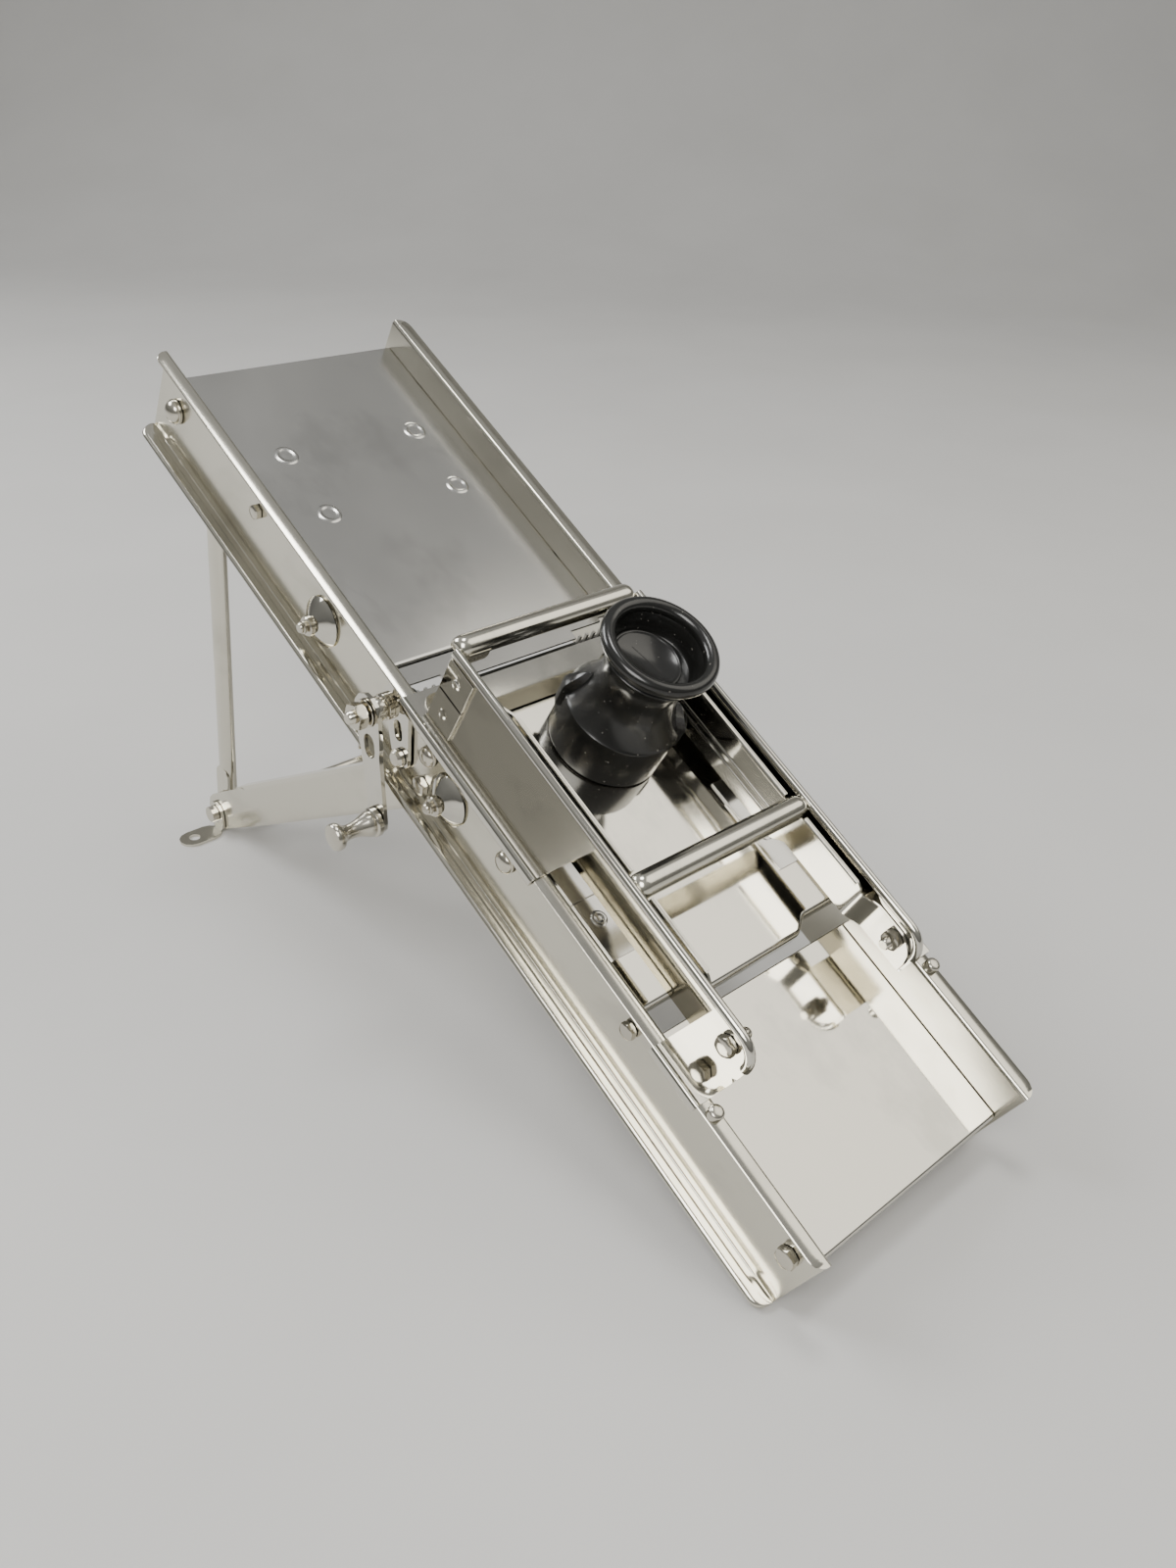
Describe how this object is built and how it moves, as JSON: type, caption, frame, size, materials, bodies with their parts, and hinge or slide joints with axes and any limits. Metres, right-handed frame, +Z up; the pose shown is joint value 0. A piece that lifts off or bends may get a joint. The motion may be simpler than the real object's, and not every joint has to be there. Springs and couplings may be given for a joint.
{
  "type": "mandoline slicer",
  "caption": "Inclined steel slicing deck between two channel rails, with a sliding carriage, a round pusher, a comb crank, thickness levers and a folding stand.",
  "frame": {"origin": "centre of the bounding box, on the table plane", "axes": "+Z up, +Y along the length towards the raised end, +X across, away from the crank"},
  "size_m": [0.1494, 0.3734, 0.2239],
  "materials": {
    "polished_steel": "polished stainless steel sheet with fine wiping marks",
    "dull_steel": "satin stainless steel",
    "nickel_hardware": "warm nickel-plated turned and hexagonal fixings",
    "black_plastic": "moulded black plastic, glossy, with light scratches"
  },
  "bodies": {
    "frame": {"rail_left": "polished_steel", "rail_right": "polished_steel", "plate_bolt_left": "nickel_hardware", "plate_bolt_right": "nickel_hardware", "holder_bolt_left": "nickel_hardware", "holder_bolt_right": "nickel_hardware", "platform_bolt_left": "nickel_hardware", "platform_bolt_right": "nickel_hardware", "platform_pivot_left": "nickel_hardware", "platform_pivot_right": "nickel_hardware", "lower_bolt_left": "nickel_hardware", "lower_bolt_right": "nickel_hardware", "stand_pin_left": "nickel_hardware", "stand_pin_right": "nickel_hardware", "stop_peg_left": "nickel_hardware", "stop_peg_right": "nickel_hardware", "mid_rod": "nickel_hardware", "throat_strip": "polished_steel", "blade": "polished_steel", "blade_holder": "dull_steel", "lower_plate": "polished_steel"},
    "upper_plate": {"upper_plate": "polished_steel"},
    "platform": {"platform": "polished_steel"},
    "upper_lever": {"upper_lever_axle": "nickel_hardware", "upper_lever_arm": "dull_steel", "upper_lever_dish_left": "polished_steel", "upper_lever_dish_right": "polished_steel"},
    "lower_lever": {"lower_lever_axle": "nickel_hardware", "lower_lever_arm": "dull_steel", "lower_lever_dish_left": "polished_steel", "lower_lever_dish_right": "polished_steel"},
    "crank": {"crank_axle": "nickel_hardware", "crank_arm": "polished_steel", "coarse_comb": "dull_steel"},
    "knob": {"crank_knob": "nickel_hardware"},
    "fork": {"fork_lever": "polished_steel", "fork_screw": "nickel_hardware", "fine_comb": "dull_steel"},
    "carriage": {"carriage_side_left": "polished_steel", "carriage_side_right": "polished_steel", "pusher_guide_left": "polished_steel", "pusher_guide_right": "polished_steel", "carriage_nut_left": "nickel_hardware", "carriage_nut_right": "nickel_hardware", "carriage_bolt_left": "nickel_hardware", "carriage_bolt_right": "nickel_hardware", "bridge_bar": "polished_steel", "cross_bar": "polished_steel"},
    "pusher": {"pusher_body": "black_plastic"},
    "stand_strut": {"strut_left": "polished_steel", "strut_right": "polished_steel"},
    "stand_brace": {"brace_left": "polished_steel", "brace_right": "polished_steel", "foot_tab_left": "polished_steel", "foot_tab_right": "polished_steel", "foot_rod": "nickel_hardware"}
  },
  "joints": [
    {"name": "upper_plate_tilt", "type": "hinge", "parent": "frame", "child": "upper_plate", "pos_m": [0.01025, 0.16145, 0.21081], "axis": [1, 0, 0], "range_deg": [0, 1.2]},
    {"name": "upper_lever_turn", "type": "hinge", "parent": "frame", "child": "upper_lever", "pos_m": [0.01025, 0.06125, 0.14715], "axis": [1, 0, 0], "range_deg": [-30, 0]},
    {"name": "platform_tilt", "type": "hinge", "parent": "frame", "child": "platform", "pos_m": [0.01025, -0.10258, 0.06503], "axis": [1, 0, 0], "range_deg": [-1, 0]},
    {"name": "lower_lever_turn", "type": "hinge", "parent": "frame", "child": "lower_lever", "pos_m": [0.01025, -0.01086, 0.10604], "axis": [1, 0, 0], "range_deg": [0, 30]},
    {"name": "crank_turn", "type": "hinge", "parent": "frame", "child": "crank", "pos_m": [-0.04975, 0.01515, 0.13338], "axis": [1, 0, 0], "range_deg": [0, 35]},
    {"name": "knob_spin", "type": "hinge", "parent": "crank", "child": "knob", "pos_m": [-0.06475, 0.01207, 0.09249], "axis": [1, 0, 0], "continuous": true},
    {"name": "fork_turn", "type": "hinge", "parent": "frame", "child": "fork", "pos_m": [-0.04375, 0.01515, 0.13338], "axis": [1, 0, 0], "range_deg": [-18, 0]},
    {"name": "carriage_slide", "type": "slide", "parent": "frame", "child": "carriage", "axis": [0, 0.8746, 0.4848], "range_m": [0, 0.14]},
    {"name": "pusher_lift", "type": "slide", "parent": "carriage", "child": "pusher", "axis": [0, -0.4848, 0.8746], "range_m": [0, 0.05]},
    {"name": "strut_fold", "type": "hinge", "parent": "frame", "child": "stand_strut", "pos_m": [0.01025, 0.15551, 0.20192], "axis": [1, 0, 0], "range_deg": [-55, 0]},
    {"name": "brace_fold", "type": "hinge", "parent": "stand_strut", "child": "stand_brace", "pos_m": [0.01025, 0.17809, 0.01], "axis": [1, 0, 0], "range_deg": [0, 110]}
  ],
  "couplings": [
    {"joint": "upper_lever_turn", "follows": "upper_plate_tilt", "ratio": -25},
    {"joint": "lower_lever_turn", "follows": "platform_tilt", "ratio": -30},
    {"joint": "brace_fold", "follows": "strut_fold", "ratio": -2}
  ]
}
